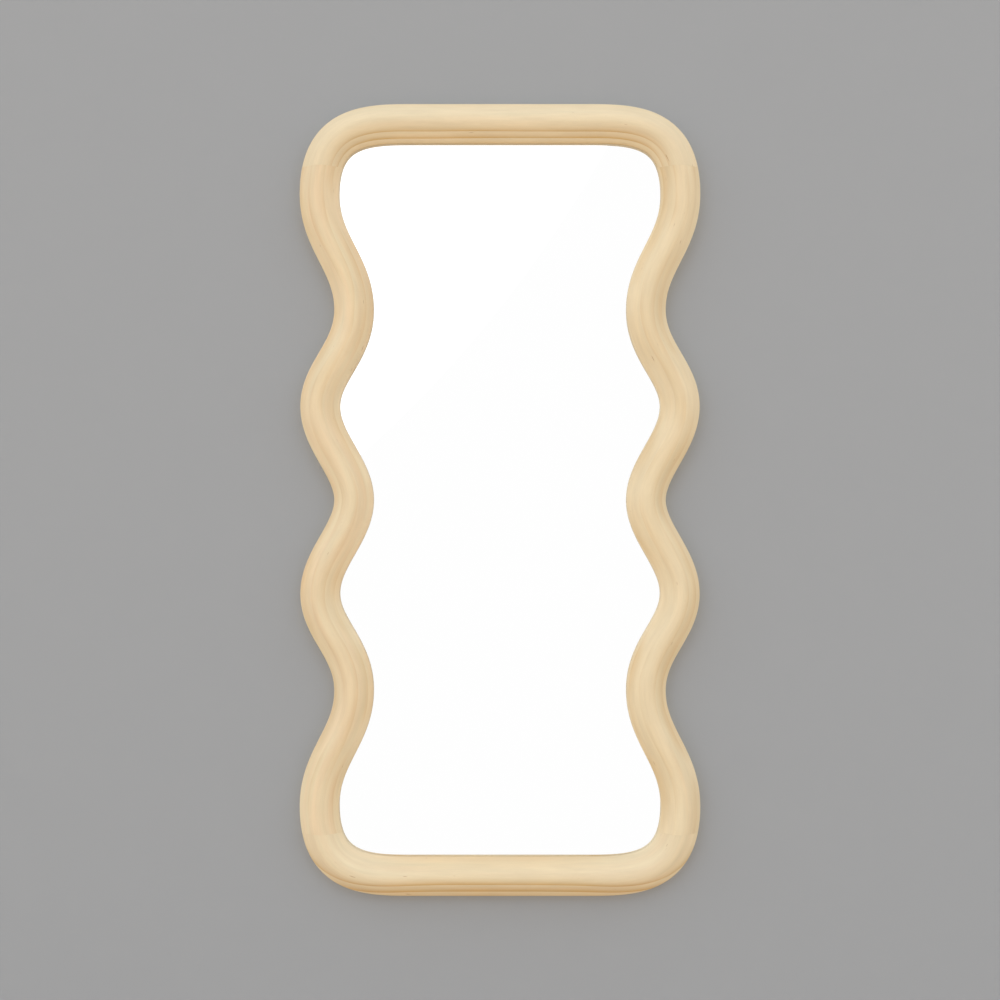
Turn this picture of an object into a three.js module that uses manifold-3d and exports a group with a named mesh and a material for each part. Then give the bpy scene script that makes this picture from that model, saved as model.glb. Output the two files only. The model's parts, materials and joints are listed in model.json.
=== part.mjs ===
// Full-length wall mirror in a wavy frame of solid pine. Millimetres, +Z up.
// The glass faces -Y. The wall is the plane Y = 0, and the origin lies on it, straight behind the middle
// of the glass. Left and right are as seen from the front.
import * as THREE from 'three';
import { mergeVertices } from 'three/addons/utils/BufferGeometryUtils.js';
import Module from 'manifold-3d';

const wasm = await Module();
wasm.setup();

// ---- Driving dimensions ----

const HEIGHT = 1500;
const WIDTH = 759;
const BAND = 74; // width of the moulding, square to its centreline
const THICKNESS = 40; // of the boards that the moulding is cut from
const WALL_GAP = 6; // room that the bumpers keep behind the frame
const GAP = 0.3; // between pieces that touch

// The moulding's centreline, one quarter of it: waist, lobe, waist, corner lobe, straight rail.
// Each bend is named by its place, and REACH says how far its curve runs on before it turns.
const WAIST_X = 277;
const LOBE_X = 341.3;
const CORNER_X = (WIDTH - BAND) / 2;
const RAIL_Z = (HEIGHT - BAND) / 2;
const LOBE_Z = 177.5;
const WAIST_Z = 361;
const CORNER_Z = 580;
const RAIL_END_X = 168;
const REACH = {
  middleWaist: 62, lobe: 66.5, waistBelow: 80, waistAbove: 88, cornerBelow: 92.5, cornerAbove: 131.5, rail: 84.5,
};
const STEPS_PER_BEND = 9;

// The moulding's section is a low gable with a round ridge. Depths are measured from the back of the frame.
const RIDGE = { offset: 2, radius: 23, steps: 6 }; // offset: outwards from the centreline
const SLOPE = THREE.MathUtils.degToRad(38);
const OUTER_EDGE = { radius: 4, steps: 3 };
const LIP_EDGE = { radius: 2.5, steps: 2 };
const REBATE = { width: 10, depth: 8 }; // behind the lip, for the glass and the board

// Joints between the rails and the stiles
const JOINT_Z = 630;
const DOWEL = { radius: 5, length: 50, chamfer: 1.5, spread: 15, depth: 18, boreLength: 54 };

// What the rebate holds
const GLASS = { thickness: 4, clearance: 3 };
const BOARD = { thickness: 3, clearance: 1 };
const SETTING_BLOCK = { length: 50, offsetX: 110 };

// Small hardware on the back
const SCREW = { radius: 1.75, length: 16, tip: 3.5 };
const HEAD = { radius: 3.9, rim: 0.8, crownRadius: 2.8, crown: 2, height: 2.2 };
const RECESS = { reach: 2.3, width: 0.9, depth: 1.2 };
const BUTTON = { length: 24, width: 12, tipRadius: 4.8, thickness: 1.2, holeRadius: 2.2, fromRebate: 12 };
const STRAP = { layer: 0.8, width: 20, length: 48, foldDrop: 6, holeRadius: 2.2, screwDrops: [11, 37] };
const RING = { wireRadius: 1.5, halfWidth: 14, cornerRadius: 3, legTop: 9, play: 0.25, sides: 8 };
const HANGER_Z = 440;
const BUMPER = { wallRadius: 8, frameRadius: 10, edge: 1, cornerShare: 0.62, offset: 5 };

// Distances from the wall that follow from these
const GLASS_SEAT = WALL_GAP + REBATE.depth;
const GLASS_BACK = GLASS_SEAT - GAP - GLASS.thickness;
const BOARD_BACK = GLASS_BACK - GAP - BOARD.thickness;
const BUTTON_BACK = WALL_GAP - GAP - BUTTON.thickness;

// ---- Materials ----

const finish = (color, roughness, metalness) => new THREE.MeshStandardMaterial({ color, roughness, metalness });
const PINE = () => finish(0xe3c9a0, 0.62, 0);
const BEECH = () => finish(0xd0ab7c, 0.7, 0);
const SILVERED_GLASS = () => finish(0xf4f6f6, 0.02, 1);
const HARDBOARD = () => finish(0x8a6242, 0.8, 0);
const RUBBER = () => finish(0x2b2b2b, 0.85, 0);
const ZINC = () => finish(0xb9bcbe, 0.35, 1);

// ---- Solids: joining and cutting ----

function toSolid(geometry) {
  const bare = new THREE.BufferGeometry();
  bare.setAttribute('position', geometry.getAttribute('position'));
  bare.setIndex(geometry.getIndex());
  const merged = mergeVertices(bare, 1e-4);
  return new wasm.Manifold(new wasm.Mesh({
    numProp: 3,
    vertProperties: new Float32Array(merged.getAttribute('position').array),
    triVerts: new Uint32Array(merged.getIndex().array),
  }));
}

function toGeometry(solid) {
  const mesh = solid.getMesh();
  const geometry = new THREE.BufferGeometry();
  geometry.setAttribute('position', new THREE.BufferAttribute(mesh.vertProperties, 3));
  geometry.setIndex(new THREE.BufferAttribute(mesh.triVerts, 1));
  return geometry;
}

// A box between two corners
function boxBetween(low, high) {
  const size = high.map((value, i) => value - low[i]);
  return new THREE.BoxGeometry(...size).translate(...low.map((value, i) => value + size[i] / 2));
}

// A round bar along Y, from the wall side towards the front, with its ends at two distances from the wall
function barAlongY(radius, from, to, x, z, sides = 12) {
  return new THREE.CylinderGeometry(radius, radius, to - from, sides).translate(x, -(from + to) / 2, z);
}

// A flat plate whose outline lies in the X-Z plane and whose wall side is a given distance from the wall
function plate(shape, back, thickness) {
  return new THREE.ExtrudeGeometry(shape, { depth: thickness, bevelEnabled: false, curveSegments: 6 })
    .rotateX(Math.PI / 2).translate(0, -back, 0);
}

// A solid swept round a closed loop, from one closed ring of points at each station. The loop runs
// anticlockwise as seen from the front, and each ring starts outwards and turns towards the front.
function closedTube(rings) {
  const sides = rings[0].length;
  const positions = rings.flat().flatMap((p) => [p.x, p.y, p.z]);
  const faces = [];
  rings.forEach((_, i) => {
    const next = (i + 1) % rings.length;
    for (let j = 0; j < sides; j += 1) {
      const k = (j + 1) % sides;
      const [a, b, c, d] = [i * sides + j, next * sides + j, next * sides + k, i * sides + k];
      faces.push(a, b, c, a, c, d);
    }
  });
  const geometry = new THREE.BufferGeometry();
  geometry.setAttribute('position', new THREE.Float32BufferAttribute(positions, 3));
  geometry.setIndex(faces);
  return geometry;
}

// ---- The wavy loop ----

const at = (x, z) => new THREE.Vector2(x, z);

// The bends of the upper right quarter, from the middle waist up to the end of the straight rail
const QUARTER_BENDS = [
  [at(WAIST_X, 0), at(WAIST_X, REACH.middleWaist), at(LOBE_X, LOBE_Z - REACH.lobe), at(LOBE_X, LOBE_Z)],
  [at(LOBE_X, LOBE_Z), at(LOBE_X, LOBE_Z + REACH.lobe), at(WAIST_X, WAIST_Z - REACH.waistBelow),
    at(WAIST_X, WAIST_Z)],
  [at(WAIST_X, WAIST_Z), at(WAIST_X, WAIST_Z + REACH.waistAbove), at(CORNER_X, CORNER_Z - REACH.cornerBelow),
    at(CORNER_X, CORNER_Z)],
  [at(CORNER_X, CORNER_Z), at(CORNER_X, CORNER_Z + REACH.cornerAbove), at(RAIL_END_X + REACH.rail, RAIL_Z),
    at(RAIL_END_X, RAIL_Z)],
].map((points) => new THREE.CubicBezierCurve(...points));

// A place on the centreline and the direction out of the frame there
function stationOn(bend, t) {
  const point = bend.getPoint(t);
  const along = bend.getTangent(t);
  return { point, outward: at(along.y, -along.x) };
}

function mirrored({ point, outward }, sideX, sideZ) {
  return { point: at(point.x * sideX, point.y * sideZ), outward: at(outward.x * sideX, outward.y * sideZ) };
}

const quarter = QUARTER_BENDS.flatMap((bend, n) => {
  const stations = [];
  for (let i = n === 0 ? 0 : 1; i <= STEPS_PER_BEND; i += 1) stations.push(stationOn(bend, i / STEPS_PER_BEND));
  return stations;
});
const withoutWaist = quarter.slice(1);
const LOOP = [
  ...quarter,
  ...quarter.toReversed().map((s) => mirrored(s, -1, 1)),
  ...withoutWaist.map((s) => mirrored(s, -1, -1)),
  ...withoutWaist.toReversed().map((s) => mirrored(s, 1, -1)),
];

const offsetPoint = ({ point, outward }, distance) => point.clone().addScaledVector(outward, distance);

// The outline that runs a given distance outside the centreline, or inside it if negative
const outline = (distance) => new THREE.Shape(LOOP.map((station) => offsetPoint(station, distance)));

// The place on the right stile's centreline at a given height, within one bend
function stationAtHeight(bend, height) {
  let [low, high] = [0, 1];
  while (high - low > 1e-6) {
    const middle = (low + high) / 2;
    if (bend.getPoint(middle).y < height) low = middle;
    else high = middle;
  }
  return stationOn(bend, low);
}

// ---- Frame ----

// Points of a round edge. Angles turn from the front: positive outwards, negative towards the glass.
function arcPoints([across, depth], { radius, steps }, from, to) {
  return Array.from({ length: steps + 1 }, (_, i) => {
    const angle = from + ((to - from) * i) / steps;
    return [across + radius * Math.sin(angle), depth + radius * Math.cos(angle)];
  });
}

// The moulding's section, from its outer back edge over the ridge to the rebate. An edge's centre lies at
// the depth at which its arc touches both the slope and the upright side.
function mouldingSection() {
  const half = BAND / 2;
  const ridgeDepth = THICKNESS - RIDGE.radius;
  const edgeDepth = (edge, fromRidge) => (
    ridgeDepth + (RIDGE.radius - edge.radius - fromRidge * Math.sin(SLOPE)) / Math.cos(SLOPE));
  const outer = half - OUTER_EDGE.radius;
  const inner = LIP_EDGE.radius - half;
  return [
    [half, 0],
    ...arcPoints([outer, edgeDepth(OUTER_EDGE, outer - RIDGE.offset)], OUTER_EDGE, Math.PI / 2, SLOPE),
    ...arcPoints([RIDGE.offset, ridgeDepth], RIDGE, SLOPE, -SLOPE),
    ...arcPoints([inner, edgeDepth(LIP_EDGE, RIDGE.offset - inner)], LIP_EDGE, -SLOPE, -Math.PI / 2),
    [-half, REBATE.depth],
    [REBATE.width - half, REBATE.depth],
    [REBATE.width - half, 0],
  ];
}

function mouldingLoop() {
  const section = mouldingSection();
  return closedTube(LOOP.map((station) => section.map(([across, depth]) => {
    const p = offsetPoint(station, across);
    return new THREE.Vector3(p.x, -(WALL_GAP + depth), p.y);
  })));
}

const jointStation = stationAtHeight(QUARTER_BENDS[3], JOINT_Z);

// Every dowel stands upright across a joint, two to a joint
const DOWELS = [];
for (const [vertical, sideZ] of [['top', 1], ['bottom', -1]]) {
  for (const [side, sideX] of [['left', -1], ['right', 1]]) {
    for (const [place, shift] of [['outer', DOWEL.spread], ['inner', -DOWEL.spread]]) {
      DOWELS.push({ name: `dowel_${vertical}_${side}_${place}`, x: sideX * (jointStation.point.x + shift),
        z: sideZ * JOINT_Z });
    }
  }
}

function dowelGeometry(x, z) {
  const { radius, length, chamfer } = DOWEL;
  const end = length / 2;
  const profile = [at(0, -end), at(radius - chamfer, -end), at(radius, chamfer - end), at(radius, end - chamfer),
    at(radius - chamfer, end), at(0, end)];
  return new THREE.LatheGeometry(profile, 16).rotateX(Math.PI / 2).translate(x, -(WALL_GAP + DOWEL.depth), z);
}

function dowelBore(x, z) {
  return new THREE.CylinderGeometry(DOWEL.radius + GAP, DOWEL.radius + GAP, DOWEL.boreLength, 16)
    .rotateX(Math.PI / 2).translate(x, -(WALL_GAP + DOWEL.depth), z);
}

// ---- Places of the hardware ----

// Turn buttons stand where the edge of the board runs straight up or straight across
const buttonPivot = BAND / 2 - REBATE.width - BUTTON.fromRebate;
const BUTTONS = [
  { name: 'top', x: 0, z: RAIL_Z - buttonPivot, turn: Math.PI / 2 },
  { name: 'bottom', x: 0, z: buttonPivot - RAIL_Z, turn: -Math.PI / 2 },
];
for (const [side, sideX] of [['left', -1], ['right', 1]]) {
  [[CORNER_X, CORNER_Z], [LOBE_X, LOBE_Z], [LOBE_X, -LOBE_Z], [CORNER_X, -CORNER_Z]].forEach(([x, z], i) => {
    BUTTONS.push({ name: `${side}_${i + 1}`, x: sideX * (x - buttonPivot), z, turn: sideX > 0 ? Math.PI : 0 });
  });
}

const hangerStation = stationAtHeight(QUARTER_BENDS[2], HANGER_Z);
const HANGERS = [
  { name: 'left', x: -hangerStation.point.x },
  { name: 'right', x: hangerStation.point.x },
];

const BUMPERS = [];
for (const [vertical, sideZ] of [['top', 1], ['bottom', -1]]) {
  for (const [side, sideX] of [['left', -1], ['right', 1]]) {
    const station = mirrored(stationOn(QUARTER_BENDS[3], BUMPER.cornerShare), sideX, sideZ);
    BUMPERS.push({ name: `wall_bumper_${vertical}_${side}`, place: offsetPoint(station, BUMPER.offset) });
  }
}

// Every screw: its name, its place and how far from the wall its head sits
const eyeRadius = RING.wireRadius + RING.play + STRAP.layer;
const strapFace = WALL_GAP - GAP - 2 * STRAP.layer;
const SCREWS = [
  ...BUTTONS.map(({ name, x, z }) => ({ name: `turn_button_screw_${name}`, x, z, seat: BUTTON_BACK - GAP })),
  ...HANGERS.flatMap(({ name, x }) => STRAP.screwDrops.map((drop, i) => (
    { name: `hanger_screw_${name}_${i === 0 ? 'upper' : 'lower'}`, x, z: HANGER_Z - drop, seat: strapFace - GAP }))),
];

// ---- Small pieces ----

// A pan-head screw along Y with a cross recess in its head
function screwGeometry({ x, z, seat }) {
  const { radius, length, tip } = SCREW;
  const profile = [
    at(0, -length), at(radius, tip - length), at(radius, 0), at(HEAD.radius, 0),
    at(HEAD.radius, HEAD.rim), at(HEAD.crownRadius, HEAD.crown), at(0, HEAD.height),
  ];
  const slot = (halfX, halfZ) => toSolid(boxBetween(
    [-halfX, HEAD.height - RECESS.depth, -halfZ], [halfX, HEAD.height + 1, halfZ],
  ));
  const recess = slot(RECESS.reach, RECESS.width / 2).add(slot(RECESS.width / 2, RECESS.reach));
  const body = toSolid(new THREE.LatheGeometry(profile, 12));
  return toGeometry(body.subtract(recess)).translate(x, -seat, z);
}

// A strip with round ends that turns about the hole in one of them; it points along +X before it is turned
function buttonGeometry() {
  const { length, width, tipRadius, thickness, holeRadius } = BUTTON;
  const strip = new THREE.Shape();
  strip.absarc(0, 0, width / 2, Math.PI / 2, (3 * Math.PI) / 2, false);
  strip.absarc(length - tipRadius, 0, tipRadius, -Math.PI / 2, Math.PI / 2, false);
  strip.holes.push(new THREE.Path().absarc(0, 0, holeRadius, 0, 2 * Math.PI, true));
  return plate(strip, 0, thickness);
}

// A strap folded round the bar of the ring: two layers below, an eye at the top
function strapGeometry() {
  const { layer, width, length, foldDrop, holeRadius, screwDrops } = STRAP;
  const side = new THREE.Shape();
  side.moveTo(0, -length);
  side.lineTo(0, 0);
  side.absarc(eyeRadius, 0, eyeRadius, Math.PI, -Math.PI / 3, true);
  side.lineTo(2 * layer, -foldDrop);
  side.lineTo(2 * layer, -length);
  side.holes.push(new THREE.Path().absarc(eyeRadius, 0, RING.wireRadius + RING.play, 0, 2 * Math.PI, false));
  const upright = new THREE.Matrix4().makeBasis(
    new THREE.Vector3(0, 1, 0), new THREE.Vector3(0, 0, 1), new THREE.Vector3(1, 0, 0),
  );
  const folded = new THREE.ExtrudeGeometry(side, { depth: width, bevelEnabled: false, curveSegments: 8 })
    .translate(0, 0, -width / 2).applyMatrix4(upright);

  const front = new THREE.Shape();
  front.moveTo(width / 2, 2 * eyeRadius);
  front.lineTo(-width / 2, 2 * eyeRadius);
  front.absarc(0, width / 2 - length, width / 2, Math.PI, 2 * Math.PI, false);
  const rounded = toSolid(plate(front, -WALL_GAP, 2 * WALL_GAP));
  const holes = screwDrops.map((drop) => toSolid(barAlongY(holeRadius, -WALL_GAP, WALL_GAP, 0, -drop)));
  return toGeometry(holes.reduce((strap, hole) => strap.subtract(hole), toSolid(folded).intersect(rounded)));
}

// A D-shaped ring of wire, whose straight bar runs through the eye of the strap
function ringGeometry() {
  const { wireRadius, halfWidth, cornerRadius, legTop, sides } = RING;
  const bar = halfWidth - cornerRadius;
  const path = new THREE.Path();
  path.moveTo(-bar, 0);
  path.lineTo(bar, 0);
  path.absarc(bar, cornerRadius, cornerRadius, -Math.PI / 2, 0, false);
  path.absarc(0, legTop, halfWidth, 0, Math.PI, false);
  path.absarc(-bar, cornerRadius, cornerRadius, Math.PI, (3 * Math.PI) / 2, false);
  const points = path.getPoints(4).slice(0, -1);
  return closedTube(points.map((point, i) => {
    const along = points[(i + 1) % points.length].clone().sub(points.at(i - 1)).normalize();
    const outward = new THREE.Vector3(along.y, 0, -along.x);
    return Array.from({ length: sides }, (_, j) => {
      const angle = (2 * Math.PI * j) / sides;
      return new THREE.Vector3(point.x, -wireRadius * Math.sin(angle), point.y)
        .addScaledVector(outward, wireRadius * Math.cos(angle));
    });
  }));
}

function bumperGeometry() {
  const { wallRadius, frameRadius, edge } = BUMPER;
  const profile = [at(0, GAP - WALL_GAP), at(frameRadius, GAP - WALL_GAP), at(frameRadius, edge + GAP - WALL_GAP),
    at(wallRadius, 0), at(0, 0)];
  return new THREE.LatheGeometry(profile, 24);
}

function settingBlockGeometry(x) {
  const low = BAND / 2 - REBATE.width - RAIL_Z + GAP;
  const high = low + GLASS.clearance - 2 * GAP;
  const half = SETTING_BLOCK.length / 2;
  return boxBetween([x - half, GAP - GLASS_SEAT, low], [x + half, -GLASS_BACK, high]);
}

// ---- Assembly ----

const mirror = new THREE.Group();

function addPiece(name, geometry, material, parent = mirror) {
  const mesh = new THREE.Mesh(geometry, material);
  mesh.name = name;
  parent.add(mesh);
  return mesh;
}

// Frame: one loop of moulding, bored for dowels and screws, then cut at the four joints
const bores = [
  ...DOWELS.map(({ x, z }) => dowelBore(x, z)),
  ...SCREWS.map(({ x, z, seat }) => barAlongY(SCREW.radius + GAP, 0, seat + SCREW.length + 1, x, z)),
];
const bored = bores.reduce((loop, bore) => loop.subtract(toSolid(bore)), toSolid(mouldingLoop()));
const cut = JOINT_Z + GAP / 2;
const stileCut = JOINT_Z - GAP / 2;
const FRAME_CUTS = {
  top_rail: [[-WIDTH, -THICKNESS * 2, cut], [WIDTH, 0, HEIGHT]],
  bottom_rail: [[-WIDTH, -THICKNESS * 2, -HEIGHT], [WIDTH, 0, -cut]],
  left_stile: [[-WIDTH, -THICKNESS * 2, -stileCut], [0, 0, stileCut]],
  right_stile: [[0, -THICKNESS * 2, -stileCut], [WIDTH, 0, stileCut]],
};
for (const [name, [low, high]] of Object.entries(FRAME_CUTS)) {
  addPiece(name, toGeometry(bored.intersect(toSolid(boxBetween(low, high)))), PINE());
}
for (const { name, x, z } of DOWELS) addPiece(name, dowelGeometry(x, z), BEECH());

// Glass and board, which lie in the rebate, and the blocks that the glass stands on
const rebateEdge = REBATE.width - BAND / 2;
const glassOutline = outline(rebateEdge - GLASS.clearance);
const boardOutline = outline(rebateEdge - BOARD.clearance);
addPiece('mirror_glass', plate(glassOutline, GLASS_BACK, GLASS.thickness), SILVERED_GLASS());
addPiece('backing_board', plate(boardOutline, BOARD_BACK, BOARD.thickness), HARDBOARD());
addPiece('setting_block_left', settingBlockGeometry(-SETTING_BLOCK.offsetX), RUBBER());
addPiece('setting_block_right', settingBlockGeometry(SETTING_BLOCK.offsetX), RUBBER());

// Turn buttons, which hold the board in
for (const { name, x, z, turn } of BUTTONS) {
  const pivot = new THREE.Group();
  pivot.position.set(x, -BUTTON_BACK, z);
  pivot.rotation.y = turn;
  mirror.add(pivot);
  addPiece(`turn_button_${name}`, buttonGeometry(), ZINC(), pivot);
}

// Hangers: a strap and its ring on each stile
for (const { name, x } of HANGERS) {
  const hanger = new THREE.Group();
  hanger.position.set(x, GAP - WALL_GAP, HANGER_Z);
  mirror.add(hanger);
  addPiece(`hanger_strap_${name}`, strapGeometry(), ZINC(), hanger);
  addPiece(`hanger_ring_${name}`, ringGeometry(), ZINC(), hanger).position.y = eyeRadius;
}

for (const screw of SCREWS) addPiece(screw.name, screwGeometry(screw), ZINC());

for (const { name, place } of BUMPERS) {
  addPiece(name, bumperGeometry(), RUBBER()).position.set(place.x, 0, place.y);
}

export default mirror;
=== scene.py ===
"""Full-length wall mirror in a wavy frame of solid pine.

Metres, Z up. The glass faces -Y and the wall is the plane Y = 0. Left and right are as seen from the front.
"""
import json
import math

import bmesh
import bpy
from bpy.props import FloatProperty, FloatVectorProperty, IntProperty, PointerProperty
from mathutils import Matrix, Vector


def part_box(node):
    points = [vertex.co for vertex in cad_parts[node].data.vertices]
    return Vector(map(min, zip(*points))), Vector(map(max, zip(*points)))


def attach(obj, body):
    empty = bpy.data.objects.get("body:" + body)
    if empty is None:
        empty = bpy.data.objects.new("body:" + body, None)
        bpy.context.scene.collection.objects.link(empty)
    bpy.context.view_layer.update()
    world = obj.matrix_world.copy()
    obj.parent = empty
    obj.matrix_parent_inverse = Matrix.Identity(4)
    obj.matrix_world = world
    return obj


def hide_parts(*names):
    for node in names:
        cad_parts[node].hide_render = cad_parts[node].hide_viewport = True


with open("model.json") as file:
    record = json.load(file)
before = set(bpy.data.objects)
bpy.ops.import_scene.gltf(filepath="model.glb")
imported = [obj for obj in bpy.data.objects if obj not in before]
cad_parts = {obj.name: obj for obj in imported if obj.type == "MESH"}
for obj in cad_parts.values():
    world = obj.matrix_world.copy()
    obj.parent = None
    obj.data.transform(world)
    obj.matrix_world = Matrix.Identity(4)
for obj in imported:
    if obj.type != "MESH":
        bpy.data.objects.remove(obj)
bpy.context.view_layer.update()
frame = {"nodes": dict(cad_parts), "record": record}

bl_info = {
    "name": "Wavy Wall Mirror",
    "version": (1, 0, 0),
    "blender": (4, 5, 0),
    "location": "View3D > Sidebar > Mirror",
    "description": "Makes a full-length wall mirror in a wavy pine frame, piece by piece",
    "category": "Object",
}

# ---- What the frame gives ----

RAIL_LOW, RAIL_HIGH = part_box("top_rail")
STILE_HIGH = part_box("left_stile")[1]
FRAME_BACK = RAIL_HIGH.y
MOULDING_DEPTH = RAIL_HIGH.y - RAIL_LOW.y
HALF_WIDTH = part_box("right_stile")[1].x
HALF_HEIGHT = RAIL_HIGH.z


def nodes_named(start):
    return sorted(name for name in frame["nodes"] if name.startswith(start))


def middle_of(node):
    return sum(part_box(node), Vector()) / 2


def body_holding(node):
    return next(body for body, names in frame["record"]["behaviour"]["bodies"].items() if node in names)


def srgb(*levels):
    """A linear colour from levels of 0 to 255."""
    shares = [level / 255 for level in levels]
    return tuple(s / 12.92 if s <= 0.04045 else ((s + 0.055) / 1.055) ** 2.4 for s in shares)


# ---- Settings ----

def length(name, description, default, lowest=0):
    return FloatProperty(name=name, description=description, default=default, min=lowest, precision=5,
                         unit="LENGTH")


def amount(name, description, default, **more):
    return FloatProperty(name=name, description=description, default=default, min=0, **more)


def angle(name, description, degrees):
    return FloatProperty(name=name, description=description, default=math.radians(degrees), unit="ROTATION")


def colour(name, description, default):
    return FloatVectorProperty(name=name, description=description, default=default, min=0, max=1,
                               subtype="COLOR")


class WaveSettings(bpy.types.PropertyGroup):
    """Places and reaches of the bends of the moulding's centreline, in its upper right quarter."""

    waist_x: length("Waist", "Half the distance between the centrelines at a waist", 0.277)
    lobe_x: length("Lobe", "Half the distance between the centrelines at a lobe", 0.3413)
    lobe_z: length("Lobe Height", "Height of the lobe above the middle", 0.1775)
    waist_z: length("Waist Height", "Height of the upper waist above the middle", 0.361)
    corner_z: length("Corner Height", "Height at which the corner starts to bend", 0.580)
    rail_end_x: length("Rail End", "Half the length of the straight part of a rail", 0.168)
    middle_reach: length("Middle Reach", "Pull of the middle waist on its bends", 0.062)
    lobe_reach: length("Lobe Reach", "Pull of the lobe on its bends", 0.0665)
    waist_reach_below: length("Waist Reach Below", "Pull of the upper waist on the bend below it", 0.080)
    waist_reach_above: length("Waist Reach Above", "Pull of the upper waist on the bend above it", 0.088)
    corner_reach_below: length("Corner Reach Below", "Pull of the corner on the bend below it", 0.0925)
    corner_reach_above: length("Corner Reach Above", "Pull of the corner on its own bend", 0.1315)
    rail_reach: length("Rail Reach", "Pull of the straight rail on the corner's bend", 0.0845)


class MouldingSettings(bpy.types.PropertyGroup):
    """The moulding's section, a low gable with a round ridge."""

    band: length("Band", "Width of the moulding, square to its centreline", 0.074)
    slope: angle("Slope", "Slope of the gable's sides", 38)
    ridge_offset: length("Ridge Offset", "Distance of the ridge outside the centreline", 0.002)
    ridge_radius: length("Ridge Radius", "Radius of the round ridge", 0.023)
    outer_edge: length("Outer Edge", "Radius of the front outer edge", 0.004)
    lip_edge: length("Lip Edge", "Radius of the edge round the glass", 0.0025)
    arris: length("Arris", "Radius of the eased back edges", 0.0008)
    rebate_width: length("Rebate Width", "Width of the rebate behind the lip", 0.010)
    rebate_depth: length("Rebate Depth", "Depth of the rebate, from the frame's back", 0.008)
    joint: length("Joint", "Hairline left between a rail and a stile", 0.0001)
    step: length("Step", "Distance between the rings of the swept surface", 0.003)
    detail: length("Detail", "Radius that one more step of a round edge stands for", 0.0013)


class HardwareSettings(bpy.types.PropertyGroup):
    """Screws, turn buttons, hangers, bumpers and dowels."""

    screw_radius: length("Screw Radius", "Outer radius of the screw's thread", 0.00175)
    screw_core: length("Screw Core", "Radius of the screw's core", 0.0012)
    screw_length: length("Screw Length", "Length of the screw under its head", 0.016)
    screw_tip: length("Screw Tip", "Length of the screw's point", 0.0035)
    screw_pitch: length("Screw Pitch", "Distance between turns of the thread", 0.0015)
    head_radius: length("Head Radius", "Radius of the screw's pan head", 0.0039)
    head_height: length("Head Height", "Height of the screw's pan head", 0.0022)
    recess_reach: length("Recess Reach", "Half the width of the cross recess", 0.0021)
    recess_depth: length("Recess Depth", "Depth of the cross recess", 0.0013)
    button_length: length("Button Length", "Distance from a turn button's pivot to its tip", 0.024)
    button_radius: length("Button Radius", "Radius of a turn button's end round its pivot", 0.006)
    button_tip: length("Button Tip", "Radius of a turn button's tip", 0.0048)
    hole_radius: length("Hole Radius", "Radius of the holes in turn buttons and straps", 0.0022)
    strap_layer: length("Strap Layer", "Thickness of the hanger strap's sheet", 0.0008)
    strap_fold: length("Strap Fold", "Distance below the ring's bar at which the strap's layers meet", 0.006)
    upper_hole: length("Upper Hole", "Distance of the strap's upper screw below the ring's bar", 0.011)
    lower_hole: length("Lower Hole", "Distance of the strap's lower screw below the ring's bar", 0.037)
    ring_wire: length("Ring Wire", "Radius of the hanger ring's wire", 0.0015)
    ring_play: length("Ring Play", "Play of the ring's bar in the eye of the strap", 0.00025)
    ring_corner: length("Ring Corner", "Radius of the ring's lower corners", 0.003)
    ring_leg: length("Ring Leg", "Height at which the ring's bow starts", 0.009)
    dowel_flutes: IntProperty(name="Dowel Flutes", description="Grooves round a dowel", default=20, min=8)
    seed: IntProperty(name="Seed", description="Sets the turn of each screw's cross", default=4)


class FinishSettings(bpy.types.PropertyGroup):
    """Colours of the pieces."""

    early_wood: colour("Early Wood", "Pale pine between the rings", (0.765, 0.665, 0.465))
    late_wood: colour("Late Wood", "Dark line at the end of a ring", (0.60, 0.40, 0.16))
    resin: colour("Resin", "Small flecks in the pine", srgb(150, 104, 60))
    beech: colour("Beech", "Dowels", srgb(206, 170, 124))
    silver: colour("Silver", "Silvering of the glass", (0.995, 0.995, 0.995))
    glass_edge: colour("Glass Edge", "Ground edge of the glass", srgb(150, 182, 168))
    back_paint: colour("Back Paint", "Paint over the silvering", srgb(98, 104, 106))
    hardboard: colour("Hardboard", "Backing board", srgb(128, 92, 62))
    rubber: colour("Rubber", "Bumpers and setting blocks", srgb(38, 38, 38))
    zinc: colour("Zinc", "Plated steel", srgb(196, 198, 200))


class StageSettings(bpy.types.PropertyGroup):
    """Wall, floor, lamps and camera."""

    wall: colour("Wall", "Colour of the wall", (0.340, 0.368, 0.404))
    backdrop: colour("Backdrop", "What the camera sees beyond the wall and the floor", (0.37, 0.37, 0.37))
    floor: colour("Floor", "Colour of the floor", (0.72, 0.72, 0.71))
    floor_glow: colour("Floor Glow", "Colour of the light that the floor sends back up", (0.86, 0.68, 0.50))
    floor_z: length("Floor Height", "Height of the floor", -1.5, -10)
    sky: amount("Sky", "Light from all round", 1.10)
    key: amount("Key", "Strength of the light from the upper left", 0.40)
    back: amount("Back", "Power of the lamp behind the wall", 16, unit="POWER")
    camera_distance: length("Camera Distance", "Distance of the camera from the wall", 2.6545)
    lens: amount("Lens", "Focal length of the camera", 50, unit="CAMERA")


def settings():
    return bpy.context.scene.wavy_mirror


class MirrorSettings(bpy.types.PropertyGroup):
    """All settings of the mirror."""

    wave: PointerProperty(type=WaveSettings)
    moulding: PointerProperty(type=MouldingSettings)
    hardware: PointerProperty(type=HardwareSettings)
    finish: PointerProperty(type=FinishSettings)
    stage: PointerProperty(type=StageSettings)


# ---- Node trees ----

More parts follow.
